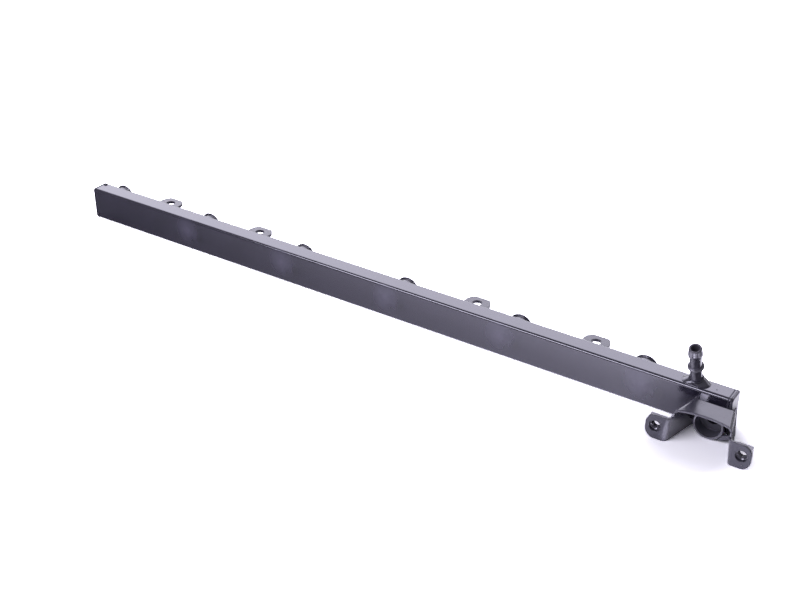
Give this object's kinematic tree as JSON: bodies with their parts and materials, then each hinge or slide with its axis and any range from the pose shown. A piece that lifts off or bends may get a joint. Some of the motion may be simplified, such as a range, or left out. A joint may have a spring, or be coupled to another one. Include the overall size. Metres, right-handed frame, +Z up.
{
  "type": "fuel rail",
  "caption": "Welded steel fuel rail for an in-line petrol engine: square gallery tube with injector cups, mounting tabs, leaning hose barb and a folded pressure regulator bracket.",
  "frame": {"origin": "centre of the first injector cup's mouth, at the end away from the bracket", "axes": "+X along the rail towards the bracket, +Y out of the injector cups, +Z up, on the barb's side"},
  "size_m": [0.5553, 0.0685, 0.0568],
  "materials": {
    "black_coat": "glossy black electro-dip coat on steel",
    "fitting_coat": "black coat on drawn and turned steel fittings, slightly duller",
    "weld_coat": "black coat over uneven weld beads"
  },
  "bodies": {
    "root": {"rail_tube": "black_coat", "end_cap_left": "black_coat", "end_cap_right": "black_coat", "mounting_tab_1": "black_coat", "mounting_tab_2": "black_coat", "mounting_tab_3": "black_coat", "mounting_tab_4": "black_coat", "regulator_bracket": "black_coat", "injector_cup_1": "fitting_coat", "injector_cup_2": "fitting_coat", "injector_cup_3": "fitting_coat", "injector_cup_4": "fitting_coat", "injector_cup_5": "fitting_coat", "injector_cup_6": "fitting_coat", "hose_barb": "fitting_coat", "barb_collar": "fitting_coat", "regulator_socket": "fitting_coat", "weld_nut_left": "fitting_coat", "weld_nut_right": "fitting_coat", "bracket_weld_left": "weld_coat", "bracket_weld_right": "weld_coat"}
  },
  "joints": []
}
